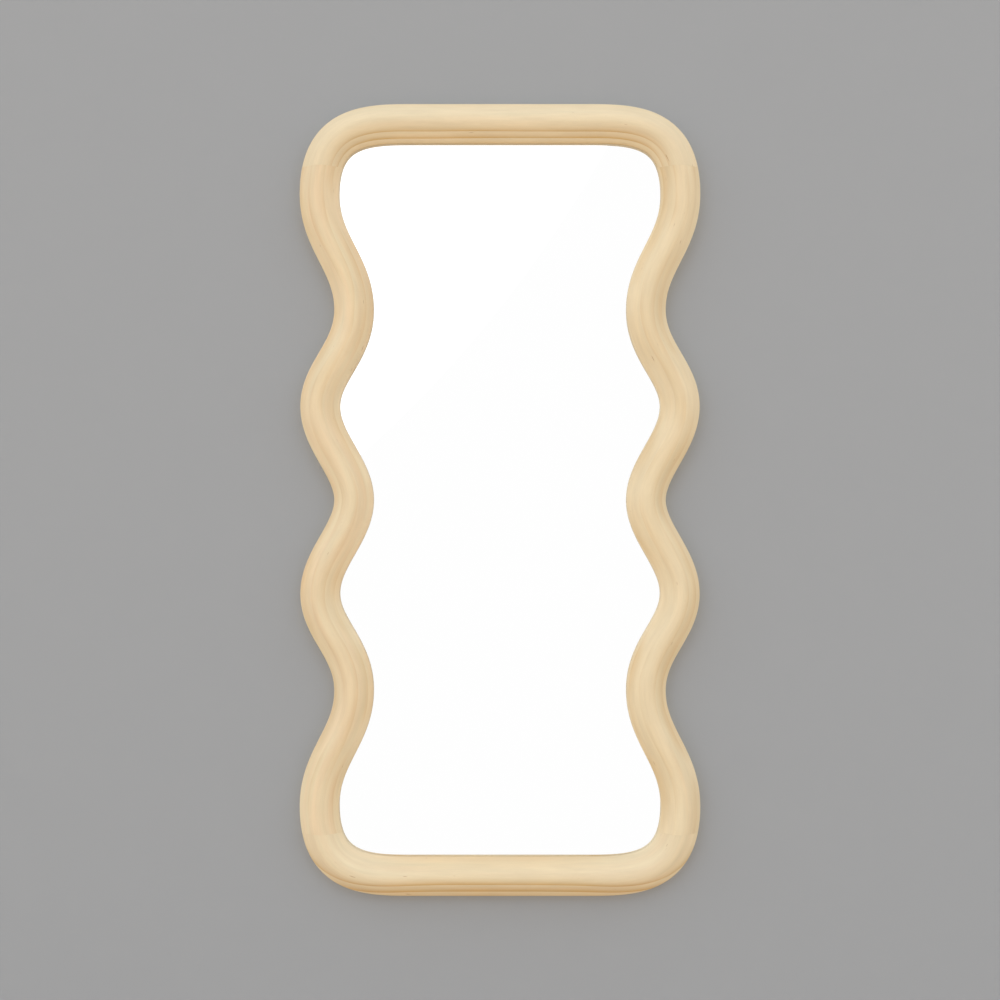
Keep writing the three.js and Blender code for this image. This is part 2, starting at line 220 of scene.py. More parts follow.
class Wiring:
    """Adds nodes to a tree. Where a value is a node, its first output is used."""

    def __init__(self, tree):
        self.tree = tree

    def join(self, value, socket):
        if isinstance(value, bpy.types.Node):
            value = next(output for output in value.outputs if output.enabled)
        if isinstance(value, bpy.types.NodeSocket):
            self.tree.links.new(value, socket)
        elif value is not None:
            socket.default_value = value

    def add(self, kind, *values, **properties):
        """A new node with its properties set and its inputs filled in order. None leaves one as it is."""
        node = self.tree.nodes.new(kind)
        for name, value in properties.items():
            setattr(node, name, value)
        for socket, value in zip([s for s in node.inputs if s.enabled], values):
            self.join(value, socket)
        return node

    def math(self, operation, *values):
        return self.add("ShaderNodeMath", *values, operation=operation)

    def vector(self, operation, *values):
        return self.add("ShaderNodeVectorMath", *values, operation=operation)

    def scaled(self, position, scale):
        return self.vector("MULTIPLY", position, scale)

    def noise(self, position, scale, detail, seed=0.0):
        """Smooth noise from 0 to 1, with a scale of its own along each axis."""
        return self.add("ShaderNodeTexNoise", self.scaled(position, scale), seed, 1.0, detail, 0.5,
                        noise_dimensions="4D")

    def blend(self, share, first, second, kind="MIX"):
        return self.add("ShaderNodeMix", share, first, second, data_type="RGBA", blend_type=kind)

    def spread(self, value, low, high, to_low=0.0, to_high=1.0):
        return self.add("ShaderNodeMapRange", value, low, high, to_low, to_high)

    def object_position(self):
        return self.add("ShaderNodeTexCoord").outputs["Object"]

    def rays(self):
        """The outputs of Light Path, and 1 for a ray that metal or glass sends on."""
        rays = self.add("ShaderNodeLightPath").outputs
        return rays, self.math("MAXIMUM", rays["Is Glossy Ray"], rays["Is Transmission Ray"])


def new_tree(name, inputs):
    """A Geometry Nodes tree with the inputs given as (name, kind, default)."""
    tree = bpy.data.node_groups.new(name, "GeometryNodeTree")
    tree.interface.new_socket("Geometry", in_out="INPUT", socket_type="NodeSocketGeometry")
    for label, kind, default in inputs:
        socket = tree.interface.new_socket(label, in_out="INPUT", socket_type=f"NodeSocket{kind}")
        if default is not None:
            socket.default_value = default
    tree.interface.new_socket("Geometry", in_out="OUTPUT", socket_type="NodeSocketGeometry")
    return tree, Wiring(tree)


def sweep_tree():
    """Sweeps a section along a path that lies flat, and stands the result up parallel to the wall.

    The radius of each point of the section is the radius of the round edge there. The result's attribute
    "outwards" is the section's own X, so that a finish can follow the path.
    """
    name = "Sweep Along Path"
    if name in bpy.data.node_groups:
        return bpy.data.node_groups[name]
    tree, w = new_tree(name, [
        ("Section", "Object", None), ("Step", "Float", 0.003), ("Edge Detail", "Float", 0.0013),
        ("Centre", "Vector", (0, 0, 0)), ("Material", "Material", None),
    ])
    given = w.add("NodeGroupInput").outputs
    upright = w.add("GeometryNodeSetCurveNormal", given["Geometry"], mode="Z_UP")
    path = w.add("GeometryNodeResampleCurve", upright, None, given["Step"], mode="LENGTH")
    section = w.add("GeometryNodeObjectInfo", given["Section"]).outputs["Geometry"]
    radius = w.add("GeometryNodeInputRadius")
    steps = w.math("ADD", w.math("DIVIDE", radius, given["Edge Detail"]), 2.0)
    rounded = w.add("GeometryNodeFilletCurve", section, steps, radius, True, mode="POLY")
    own_x = w.add("ShaderNodeSeparateXYZ", w.add("GeometryNodeInputPosition")).outputs["X"]
    marked = w.add("GeometryNodeStoreNamedAttribute", rounded, None, "outwards", own_x, data_type="FLOAT",
                   domain="POINT")
    swept = w.add("GeometryNodeCurveToMesh", path, marked)
    stood = w.add("GeometryNodeTransform", swept, given["Centre"], (math.pi / 2, 0, 0))
    real = w.add("GeometryNodeRealizeInstances", stood)
    finished = w.add("GeometryNodeSetMaterial", real, None, given["Material"])
    w.join(finished, w.add("NodeGroupOutput").inputs[0])
    return tree


def copies_tree():
    """Puts a copy of a piece on every point, turned about Y by the point's turn and a random one."""
    name = "Copies On Points"
    if name in bpy.data.node_groups:
        return bpy.data.node_groups[name]
    tree, w = new_tree(name, [
        ("Piece", "Object", None), ("Random Turn", "Float", 0.0), ("Seed", "Int", 0),
        ("Material", "Material", None),
    ])
    given = w.add("NodeGroupInput").outputs
    turn = w.add("GeometryNodeInputNamedAttribute", "turn")
    extra = w.add("FunctionNodeRandomValue", 0.0, given["Random Turn"], None, given["Seed"])
    whole = w.math("ADD", turn, extra)
    rotation = w.add("FunctionNodeEulerToRotation", w.add("ShaderNodeCombineXYZ", 0.0, whole, 0.0))
    piece = w.add("GeometryNodeObjectInfo", given["Piece"], True).outputs["Geometry"]
    points = w.add("GeometryNodeMeshToPoints", given["Geometry"])
    placed = w.add("GeometryNodeInstanceOnPoints", points, None, piece, None, None, rotation)
    real = w.add("GeometryNodeRealizeInstances", placed)
    finished = w.add("GeometryNodeSetMaterial", real, None, given["Material"])
    w.join(finished, w.add("NodeGroupOutput").inputs[0])
    return tree


# ---- Meshes ----

SMOOTH_LIMIT = math.radians(32)
MERGE = 1e-6
SQUARE = ((-1, -1), (1, -1), (1, 1), (-1, 1))


def link(obj):
    bpy.context.scene.collection.objects.link(obj)
    return obj


def drop(*objects):
    for obj in objects:
        bpy.data.objects.remove(obj)


def evaluated_mesh(obj, name):
    """The object's mesh with its modifiers applied, as plain data."""
    bpy.context.view_layer.update()
    graph = bpy.context.evaluated_depsgraph_get()
    mesh = bpy.data.meshes.new_from_object(obj.evaluated_get(graph))
    mesh.name = name
    return mesh


def run_tree(obj, tree, values, name):
    """The mesh that a tree makes of an object, with the tree's inputs given by name."""
    modifier = obj.modifiers.new(tree.name, "NODES")
    modifier.node_group = tree
    for item in tree.interface.items_tree:
        if item.in_out == "INPUT" and item.name in values:
            modifier[item.identifier] = values[item.name]
    mesh = evaluated_mesh(obj, name)
    obj.modifiers.remove(modifier)
    return mesh


def tidy_mesh(mesh):
    """Merges doubles, points the faces outwards and shades smooth up to the sharp edges."""
    shell = bmesh.new()
    shell.from_mesh(mesh)
    bmesh.ops.remove_doubles(shell, verts=shell.verts, dist=MERGE)
    bmesh.ops.dissolve_degenerate(shell, edges=shell.edges, dist=MERGE)
    bmesh.ops.recalc_face_normals(shell, faces=shell.faces)
    shell.to_mesh(mesh)
    shell.free()
    mesh.shade_smooth()
    mesh.set_sharp_from_angle(angle=SMOOTH_LIMIT)
    return mesh


def poly_curve(name, points, cyclic, radii=None):
    """A flat curve through points of the X-Y plane."""
    data = bpy.data.curves.new(name, "CURVE")
    data.dimensions = "3D"
    spline = data.splines.new("POLY")
    spline.points.add(len(points) - 1)
    for i, (x, y) in enumerate(points):
        spline.points[i].co = (x, y, 0, 1)
        spline.points[i].radius = radii[i] if radii else 0
    spline.use_cyclic_u = cyclic
    return link(bpy.data.objects.new(name, data))


def finished_shell(shell, name="shell"):
    bmesh.ops.recalc_face_normals(shell, faces=shell.faces)
    mesh = bpy.data.meshes.new(name)
    shell.to_mesh(mesh)
    shell.free()
    return mesh


def skin(rings):
    """A closed mesh over rings of places. The first and the last are capped, or are a single place each."""
    shell = bmesh.new()
    rows = [[shell.verts.new(place) for place in ring] for ring in rings]
    around = max(len(row) for row in rows)
    for near, far in zip(rows, rows[1:]):
        for i in range(around):
            k = (i + 1) % around
            corners = [near[i % len(near)], near[k % len(near)], far[k % len(far)], far[i % len(far)]]
            shell.faces.new(list(dict.fromkeys(corners)))
    for end in (rows[0], rows[-1]):
        if len(end) > 1:
            shell.faces.new(end)
    return finished_shell(shell)


def turns(count):
    """Angles evenly round a circle."""
    return [2 * math.pi * i / count for i in range(count)]


def lathe(profile, segments):
    """A mesh turned about Y from a profile of (radius, y) points that starts and ends on the axis."""
    return skin([[(r * math.cos(t), y, r * math.sin(t)) for t in (turns(segments) if r > MERGE else [0])]
                 for r, y in profile])


def prism(outline, low, high, axis):
    """A closed prism over an outline. Along Y the outline is (x, z), and along X it is (y, z)."""
    return skin([[(a, along, b) if axis == "Y" else (along, a, b) for a, b in outline]
                 for along in (low, high)])


def circle(radius, sides=32, height=0.0):
    """Points of a circle round the point (0, height)."""
    return [(radius * math.cos(t), height + radius * math.sin(t)) for t in turns(sides)]


def arc(centre, radius, start, end, steps):
    """Points of an arc, with its angles in degrees."""
    angles = [math.radians(start + (end - start) * i / steps) for i in range(steps + 1)]
    return [(centre[0] + radius * math.cos(t), centre[1] + radius * math.sin(t)) for t in angles]


def carved(mesh, cutters, operation="DIFFERENCE", edge=0.0):
    """A mesh after cutting it with others, with its sharp edges rounded."""
    target = link(bpy.data.objects.new("blank", mesh))
    tools = [link(bpy.data.objects.new("cutter", cutter)) for cutter in cutters]
    for tool in tools:
        modifier = target.modifiers.new("cut", "BOOLEAN")
        modifier.operation = operation
        modifier.solver = "EXACT"
        modifier.object = tool
    if edge:
        bevel = target.modifiers.new("edge", "BEVEL")
        bevel.width = edge
        bevel.segments = 2
        bevel.limit_method = "ANGLE"
        bevel.angle_limit = SMOOTH_LIMIT
    result = evaluated_mesh(target, "carved")
    drop(target, *tools)
    return result


def new_piece(name, mesh, body, nodes):
    """A finished piece: its mesh is in place, and it stands for the nodes."""
    piece = link(bpy.data.objects.new(name, mesh))
    mesh.name = name
    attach(piece, body)
    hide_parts(*nodes)
    return piece


def copies(name, spots, template, material, random_turn=0.0, seed=0):
    """One mesh with a copy of the template at each spot, given as (place, turn)."""
    points = bpy.data.meshes.new(name)
    points.from_pydata([place for place, _ in spots], [], [])
    points.attributes.new("turn", "FLOAT", "POINT").data.foreach_set("value", [turn for _, turn in spots])
    carrier = link(bpy.data.objects.new("carrier", points))
    pattern = link(bpy.data.objects.new("pattern", tidy_mesh(template)))
    mesh = run_tree(carrier, copies_tree(), {
        "Piece": pattern, "Random Turn": random_turn, "Seed": seed, "Material": material,
    }, name)
    drop(carrier, pattern)
    mesh.set_sharp_from_angle(angle=SMOOTH_LIMIT)
    return mesh


# ---- The wavy centreline ----

def centreline():
    """The moulding's centreline as a flat closed curve, seen from the front."""
    wave = settings().wave
    half_band = settings().moulding.band / 2
    corner_x = HALF_WIDTH - half_band
    rail_z = HALF_HEIGHT - half_band
    up, left = Vector((0, 1)), Vector((-1, 0))
    quarter = [
        (Vector((wave.waist_x, 0)), up, wave.middle_reach, wave.middle_reach),
        (Vector((wave.lobe_x, wave.lobe_z)), up, wave.lobe_reach, wave.lobe_reach),
        (Vector((wave.waist_x, wave.waist_z)), up, wave.waist_reach_below, wave.waist_reach_above),
        (Vector((corner_x, wave.corner_z)), up, wave.corner_reach_below, wave.corner_reach_above),
        (Vector((wave.rail_end_x, rail_z)), left, wave.rail_reach, wave.rail_end_x / 3),
    ]

    def mirrored(stops, x, z):
        return [(Vector((p.x * x, p.y * z)), Vector((d.x * x, d.y * z)), a, b) for p, d, a, b in stops]

    def backwards(stops):
        return [(p, -d, b, a) for p, d, a, b in reversed(stops)]

    stops = (quarter + backwards(mirrored(quarter, -1, 1)) + mirrored(quarter, -1, -1)[1:]
             + backwards(mirrored(quarter, 1, -1))[:-1])
    data = bpy.data.curves.new("centreline", "CURVE")
    data.dimensions = "3D"
    data.resolution_u = 64
    spline = data.splines.new("BEZIER")
    spline.bezier_points.add(len(stops) - 1)
    spline.use_cyclic_u = True
    for point, (place, heading, before, after) in zip(spline.bezier_points, stops):
        point.handle_left_type = point.handle_right_type = "FREE"
        point.co = (*place, 0)
        point.handle_left = (*(place - heading * before), 0)
        point.handle_right = (*(place + heading * after), 0)
    return link(bpy.data.objects.new("centreline", data))


def swept(name, path, section, material, centre=(0, 0, 0), step=None):
    moulding = settings().moulding
    mesh = run_tree(path, sweep_tree(), {
        "Section": section, "Step": step or moulding.step, "Edge Detail": moulding.detail,
        "Centre": centre, "Material": material,
    }, name)
    drop(path, section)
    return mesh


def moulding_section():
    """The section, from the flat outer side over the two slopes to the lip and the rebate behind it."""
    m = settings().moulding
    half = m.band / 2
    tangent = math.tan(m.slope)
    apex = MOULDING_DEPTH - m.ridge_radius + m.ridge_radius / math.cos(m.slope)
    corners = [
        (half, 0.0, m.arris),
        (half, apex - (half - m.ridge_offset) * tangent, m.outer_edge),
        (m.ridge_offset, apex, m.ridge_radius),
        (-half, apex - (half + m.ridge_offset) * tangent, m.lip_edge),
        (-half, m.rebate_depth, m.arris / 2),
        (m.rebate_width - half, m.rebate_depth, m.arris / 2),
        (m.rebate_width - half, 0.0, m.arris),
    ]
    points = [(across, -depth) for across, depth, _ in corners]
    return poly_curve("moulding_section", points, True, [radius for _, _, radius in corners])


# ---- Finishes ----

def new_material(name):
    material = bpy.data.materials.new(name)
    material.use_nodes = True
    return material, Wiring(material.node_tree)


def shade(material, w, **values):
    """Fills the material's own shader. The name base_color stands for its socket Base Color, and so on."""
    shader = material.node_tree.nodes["Principled BSDF"]
    labels = {socket.name.lower().replace(" ", "_"): socket for socket in shader.inputs}
    for label, value in values.items():
        w.join(value, labels[label])
    return material


def relief(w, height, distance):
    return w.add("ShaderNodeBump", 1.0, distance, None, height)


def opaque(levels):
    return (*levels, 1.0)


def wood_tree():
    """Pine with the heart of its tree in front of the face, and its grain led round the moulding's bends.

    The rings lie nearly parallel to the face, so that they show as lines along the moulding's slopes. Each
    ring darkens slowly towards the wall and ends sharply.
    """
    name = "Pine Board"
    if name in bpy.data.node_groups:
        return bpy.data.node_groups[name]
    tree = bpy.data.node_groups.new(name, "ShaderNodeTree")
    for kind, direction, labels in (
        ("Float", "INPUT", ("Heart Outwards", "Heart Back", *CUT)),
        ("Color", "INPUT", ("Early Wood", "Late Wood", "Resin")),
        ("Float", "OUTPUT", ("Roughness", "Height")),
        ("Color", "OUTPUT", ("Color",)),
    ):
        for label in labels:
            tree.interface.new_socket(label, in_out=direction, socket_type=f"NodeSocket{kind}")
    w = Wiring(tree)
    given = w.add("NodeGroupInput").outputs
    seed = given["Seed"]
    place = w.object_position()
    outwards = w.add("ShaderNodeAttribute", attribute_name="outwards").outputs["Fac"]

    def streaks(along, across, detail, offset=0.0):
        """Smooth noise drawn out along the moulding, with one scale along it and one across it."""
        spot = w.scaled(place, (along, across, along))
        layer = w.math("ADD", w.math("MULTIPLY", outwards, across), w.math("ADD", seed, offset))
        return w.add("ShaderNodeTexNoise", spot, layer, 1.0, detail, 0.5, noise_dimensions="4D")

    # Distance from the heart, made uneven along the grain and bent towards the ends of a rail
    slow = w.math("SUBTRACT", streaks(3.2, 16, 1.0), 0.5)
    quick = w.math("SUBTRACT", streaks(14, 60, 2.0), 0.5)
    unevenness = w.math("ADD", w.math("MULTIPLY", slow, 0.008), w.math("MULTIPLY", quick, 0.0018))
    split = w.add("ShaderNodeSeparateXYZ", place).outputs
    across = w.math("SUBTRACT", outwards, given["Heart Outwards"])
    back = w.math("SUBTRACT", split["Y"], given["Heart Back"])
    distance = w.vector("LENGTH", w.add("ShaderNodeCombineXYZ", 0.0, across, back)).outputs["Value"]
    bend = w.math("MULTIPLY", w.math("POWER", w.math("ABSOLUTE", split["X"]), 4.0), given["Bow"])
    radius = w.math("SUBTRACT", distance, bend)
    radius = w.math("ADD", radius, w.math("MULTIPLY", unevenness, given["Waviness"]))

    # Rings: late is 0 in the pale wood and 1 at the end of a ring, and the ring at the face has no start.
    # The wood deepens from ring to ring, a rail's rings grow faint in its corners and all rings on the back.
    # The deepening is partly grain and partly painted shade: it falls on the slopes that face down or to the
    # right.
    years = w.math("DIVIDE", w.math("SUBTRACT", radius, given["First Ring"]), given["Ring Width"])
    years = w.math("MAXIMUM", years, -0.98)
    number = w.math("ADD", w.math("FLOOR", years), seed)
    strength = w.add("ShaderNodeTexWhiteNoise", number, noise_dimensions="1D")
    late = w.math("POWER", w.math("FRACT", years), 2.4)
    late = w.math("MULTIPLY", late, w.spread(strength.outputs["Value"], 0, 1, 0.75, 1.0))
    fade = w.spread(w.math("ABSOLUTE", split["X"]), 0.24, 0.34, 1.0, given["Corner Share"])
    fade = w.math("MULTIPLY", fade, w.spread(split["Y"], FRAME_BACK - 0.008, FRAME_BACK - 0.001, 1.0, 0.4))
    # Painted shade in part: this deepening grows away from the tilted heart, onto the slopes that face away
    # from the light
    deeper_rings_and_shade = w.math("MULTIPLY", w.spread(years, -0.3, 0.6), given["Heartwood"])
    patches = w.spread(streaks(9, 26, 1.0, 9.0), 0.36, 0.64, -1.0, 1.0)
    patches = w.math("MULTIPLY_ADD", patches, given["Patchiness"], 1.0)
    late = w.math("ADD", w.math("MULTIPLY", late, given["Contrast"]), deeper_rings_and_shade)
    late = w.math("MULTIPLY", late, patches)
    late = w.math("MULTIPLY", late, fade)

    # Soft streaks along the moulding: broad and narrow tones, and a pink blush
    broad = w.spread(streaks(7, 55, 2.0, 3.0), 0.3, 0.7, 0.945, 1.035)
    narrow = w.spread(streaks(17, 210, 2.0, 5.0), 0.3, 0.7, 0.965, 1.02)
    blush = w.math("MULTIPLY", w.spread(streaks(6, 70, 1.0, 7.0), 0.38, 0.68), given["Blush"])

    # Colour: rings, streaks, fibres and flecks of resin
    wood = w.blend(late, given["Early Wood"], given["Late Wood"])
    wood = w.blend(blush, wood, w.blend(1.0, wood, (1.02, 0.965, 0.945, 1), "MULTIPLY"))
    fibres = streaks(70, 1500, 3.0)
    fine = w.spread(fibres, 0.25, 0.75, 0.965, 1.025)
    wood = w.vector("SCALE", wood, w.math("MULTIPLY", w.math("MULTIPLY", broad, narrow), fine))
    flecks = w.spread(streaks(42, 330, 1.0), 0.755, 0.80)
    wood = w.blend(w.math("MULTIPLY", flecks, 0.6), wood, given["Resin"])

    result = w.add("NodeGroupOutput").inputs
    w.join(wood, result["Color"])
    rough = w.math("MULTIPLY_ADD", fibres, 0.14, w.spread(late, 0, 1, 0.56, 0.47))
    w.join(rough, result["Roughness"])
    w.join(w.math("ADD", fibres, w.math("MULTIPLY", late, 0.6)), result["Height"])
    return tree


# How each board was cut. The tree's heart lies this far in front of the ridge, tilted outwards by the
# degrees that stand first. The first ring ends behind the ridge, and a bow bends a rail's rings at its ends.
# The tilts put each heart up or to the left, so that the far, deeper rings and their lines fall on the
# slopes that face down or to the right, away from the light: partly grain, partly painted shade.
HEART_DISTANCE = 0.25
CUT = ("First Ring", "Ring Width", "Contrast", "Heartwood", "Corner Share", "Waviness", "Patchiness", "Bow",
       "Blush", "Seed")
BOARDS = {
    "top_rail": (20, (0.0166, 0.0119, 1.0, 0.10, 0.35, 0.55, 0.1, 0.0, 0.4, 1.7)),
    "bottom_rail": (-35, (0.0069, 0.0175, 1.05, 0.28, 0.8, 0.55, 0.1, 2.0, 0.6, 5.2)),
    "left_stile": (8, (0.0050, 0.0150, 0.17, 0.10, 1.0, 1.7, 0.85, 0.0, 1.0, 9.4)),
    "right_stile": (-8, (0.0050, 0.0150, 0.17, 0.12, 1.0, 1.7, 0.85, 0.0, 0.3, 14.1)),
}


def pine(name):
    """The finish of one board of the frame."""
    finish = settings().finish
    material, w = new_material(f"pine_{name}")
    grain = w.add("ShaderNodeGroup", node_tree=wood_tree())
    degrees, cut = BOARDS[name]
    tilt = math.radians(degrees)
    values = dict(zip(CUT, cut))
    values["Heart Outwards"] = settings().moulding.ridge_offset + HEART_DISTANCE * math.sin(tilt)
    values["Heart Back"] = RAIL_LOW.y - HEART_DISTANCE * math.cos(tilt)
    values["First Ring"] += HEART_DISTANCE
    values["Early Wood"] = opaque(finish.early_wood)
    values["Late Wood"] = opaque(finish.late_wood)
    values["Resin"] = opaque(finish.resin)
    for label, value in values.items():
        w.join(value, grain.inputs[label])
    return shade(material, w, base_color=grain.outputs["Color"], roughness=grain.outputs["Roughness"],
                 normal=relief(w, grain.outputs["Height"], 0.00005))


def mottled(name, levels, scale, low, high, roughness, bump):
    """A finish of one colour made lighter and darker by noise, with the same noise as its relief."""
    material, w = new_material(name)
    place = w.object_position()
    fine = w.noise(place, scale, 4.0)
    broad = w.noise(place, tuple(s / 9 for s in scale), 2.0, 3.0)
    tone = w.math("MULTIPLY", w.spread(fine, 0.3, 0.7, low, high), w.spread(broad, 0.3, 0.7, low, high))
    tint = w.vector("SCALE", tuple(levels), tone)
    rough = w.spread(w.math("ADD", fine, broad), 0.6, 1.4, *roughness)
    return shade(material, w, base_color=tint, roughness=rough, normal=relief(w, fine, bump))


def silvered_glass():
    """Clean mirror: hardly any tint, and the faintest haze where it was wiped."""
    material, w = new_material("silvered_glass")
    place = w.object_position()
    haze = w.noise(place, (5, 5, 9), 3.0)
    wiped = w.noise(place, (60, 60, 7), 2.0, 2.0)
    tint = w.vector("SCALE", tuple(settings().finish.silver), w.spread(haze, 0.3, 0.7, 0.998, 1.0))
    rough = w.spread(w.math("MULTIPLY", haze, wiped), 0.3, 0.5, 0.0, 0.012)
    return shade(material, w, base_color=tint, metallic=1.0, roughness=rough)


def hardboard():
    """Smooth side of a hardboard: pressed fibres in a brown sheet, with a dull polish."""
    material, w = new_material("hardboard")
    place = w.object_position()
    lumps = w.noise(place, (30, 30, 30), 3.0)
    cells = w.add("ShaderNodeTexVoronoi", w.scaled(place, (420, 420, 260)), 1.0, feature="F1")
    fibres = w.noise(w.add("ShaderNodeMapping", place, None, (0, 0.6, 0)), (900, 900, 220), 4.0)
    crossing = w.noise(w.add("ShaderNodeMapping", place, None, (0, -0.7, 0)), (230, 900, 900), 4.0, 2.0)
    tone = w.math("ADD", w.spread(lumps, 0.3, 0.7, 0.86, 1.04), w.spread(fibres, 0.3, 0.7, -0.13, 0.10))
    tone = w.math("ADD", tone, w.spread(crossing, 0.3, 0.7, -0.10, 0.10))
    tone = w.math("SUBTRACT", tone, w.spread(cells.outputs["Distance"], 0.0, 0.25, 0.14, 0.0))
    tint = w.vector("SCALE", tuple(settings().finish.hardboard), tone)
    height = w.math("ADD", fibres, crossing)
    return shade(material, w, base_color=tint, roughness=w.spread(height, 0.6, 1.4, 0.42, 0.62),
                 normal=relief(w, height, 0.00006))


def zinc(name, seed):
    """Bright zinc plating with its faint cloudiness and fine rolling marks."""
    material, w = new_material(name)
    place = w.object_position()
    clouds = w.noise(place, (260, 260, 260), 3.0, seed)
    marks = w.noise(place, (2500, 2500, 300), 2.0, seed)
    red, green, blue = settings().finish.zinc
    tone = w.math("MULTIPLY", w.spread(clouds, 0.3, 0.7, 0.86, 1.04), w.spread(marks, 0.3, 0.7, 0.96, 1.02))
    bluish = w.spread(clouds, 0.45, 0.75)
    cool = w.blend(bluish, (red, green, blue, 1), (red * 0.9, green * 0.95, blue, 1))
    rough = w.math("ADD", w.spread(clouds, 0.3, 0.7, 0.24, 0.38), w.spread(marks, 0.3, 0.7, 0.0, 0.08))
    return shade(material, w, base_color=w.vector("SCALE", cool, tone), metallic=1.0, roughness=rough,
                 normal=relief(w, marks, 0.000012))


# ---- Making the pieces ----

def close_openings(shell):
    bmesh.ops.holes_fill(shell, edges=[edge for edge in shell.edges if edge.is_boundary], sides=0)


def cut_from(loop, name, planes, material):
    """A part of the swept loop, cut off at planes given as (point, direction cut away)."""
    shell = bmesh.new()
    shell.from_mesh(loop)
    for point, away in planes:
        bmesh.ops.bisect_plane(shell, geom=shell.verts[:] + shell.edges[:] + shell.faces[:], dist=MERGE,
                               plane_co=point, plane_no=away, clear_outer=True)
    close_openings(shell)
    mesh = tidy_mesh(finished_shell(shell, name))
    mesh.materials.append(material)
    return mesh


def new_sheet(name, node, arris, front, edge, back):
    """A flat sheet with its node's outline, and a material each for its front, its edge and its back."""
    low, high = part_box(node)
    outwards = high.z - (HALF_HEIGHT - settings().moulding.band / 2)
    inner = outwards - arris
    points = [(inner, high.y), (outwards, high.y - arris), (outwards, low.y + arris), (inner, low.y)]
    mesh = swept(name, centreline(), poly_curve("sheet_section", points, False), None)
    shell = bmesh.new()
    shell.from_mesh(mesh)
    bmesh.ops.remove_doubles(shell, verts=shell.verts, dist=MERGE)
    close_openings(shell)
    bmesh.ops.recalc_face_normals(shell, faces=shell.faces)
    shell.normal_update()
    flat = 0.9
    for face in shell.faces:
        face.material_index = 0 if face.normal.y < -flat else 2 if face.normal.y > flat else 1
    shell.to_mesh(mesh)
    shell.free()
    mesh.materials.clear()
    for material in (front, edge, back):
        mesh.materials.append(material)
    mesh.shade_smooth()
    mesh.set_sharp_from_angle(angle=SMOOTH_LIMIT)
    new_piece(name, mesh, "frame", [node])


class Making(bpy.types.Operator):
    """Base of the operators below."""

    bl_options = {"REGISTER", "UNDO"}

    def execute(self, context):
        self.make()
        return {"FINISHED"}


class MakeMoulding(Making):
    """Makes the two rails and the two stiles of the frame"""

    bl_idname = "wavy_mirror.moulding"
    bl_label = "Frame Moulding"

    def make(self):
        loop = swept("moulding", centreline(), moulding_section(), None, (0, FRAME_BACK, 0))
        tidy_mesh(loop)
        up, right = Vector((0, 0, 1)), Vector((1, 0, 0))
        middle, half_joint = (RAIL_LOW.z + STILE_HIGH.z) / 2, settings().moulding.joint / 2
        rail_cut, stile_cut = (middle + half_joint) * up, (middle - half_joint) * up
        planes = {
            "top_rail": [(rail_cut, -up)],
            "bottom_rail": [(-rail_cut, up)],
            "left_stile": [(stile_cut, up), (-stile_cut, -up), (Vector(), right)],
            "right_stile": [(stile_cut, up), (-stile_cut, -up), (Vector(), -right)],
        }
        for name, cuts in planes.items():
            mesh = cut_from(loop, f"pine_{name}", cuts, pine(name))
            new_piece(f"pine_{name}", mesh, "frame", [name])
        bpy.data.meshes.remove(loop)


class MakeDowels(Making):
    """Makes the fluted dowels of the joints"""

    bl_idname = "wavy_mirror.dowels"
    bl_label = "Dowels"

    def make(self):
        nodes = nodes_named("dowel_")
        low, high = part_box(nodes[0])
        radius, half = (high.x - low.x) / 2, (high.z - low.z) / 2
        chamfer, groove, per_flute, lengths = 0.0015, 0.0004, 4, 12
        straight = half - chamfer
        rows = [(-half, radius - chamfer)]
        rows += [(straight * (2 * i / lengths - 1), radius) for i in range(lengths + 1)]
        rows += [(half, radius - chamfer)]
        rings = []
        for z, reach in rows:
            reaches = [reach - groove] + [reach] * (per_flute - 1)
            angles = turns(settings().hardware.dowel_flutes * per_flute)
            rings.append([(reaches[i % per_flute] * math.cos(t), reaches[i % per_flute] * math.sin(t), z)
                          for i, t in enumerate(angles)])
        levels = settings().finish.beech
        material = mottled("beech", levels, (900, 900, 60), 0.93, 1.04, (0.6, 0.75), 0.00004)
        mesh = copies("dowels", [(middle_of(node), 0.0) for node in nodes], skin(rings), material)
        new_piece("dowels", mesh, "frame", nodes)


class MakeGlass(Making):
    """Makes the mirror glass, with its silvered face and ground edge"""

    bl_idname = "wavy_mirror.glass"
    bl_label = "Mirror Glass"

    def make(self):
        finish = settings().finish
        edge = mottled("ground_glass_edge", finish.glass_edge, (700,) * 3, 0.94, 1.04, (0.35, 0.5), 0.00002)
        paint = mottled("mirror_back_paint", finish.back_paint, (500,) * 3, 0.95, 1.04, (0.5, 0.65), 0.00003)
        new_sheet("mirror_sheet", "mirror_glass", 0.0004, silvered_glass(), edge, paint)


class MakeBoard(Making):
    """Makes the hardboard behind the glass"""

    bl_idname = "wavy_mirror.board"
    bl_label = "Backing Board"

    def make(self):
        brown = hardboard()
        new_sheet("hardboard_sheet", "backing_board", 0.0003, brown, brown, brown)


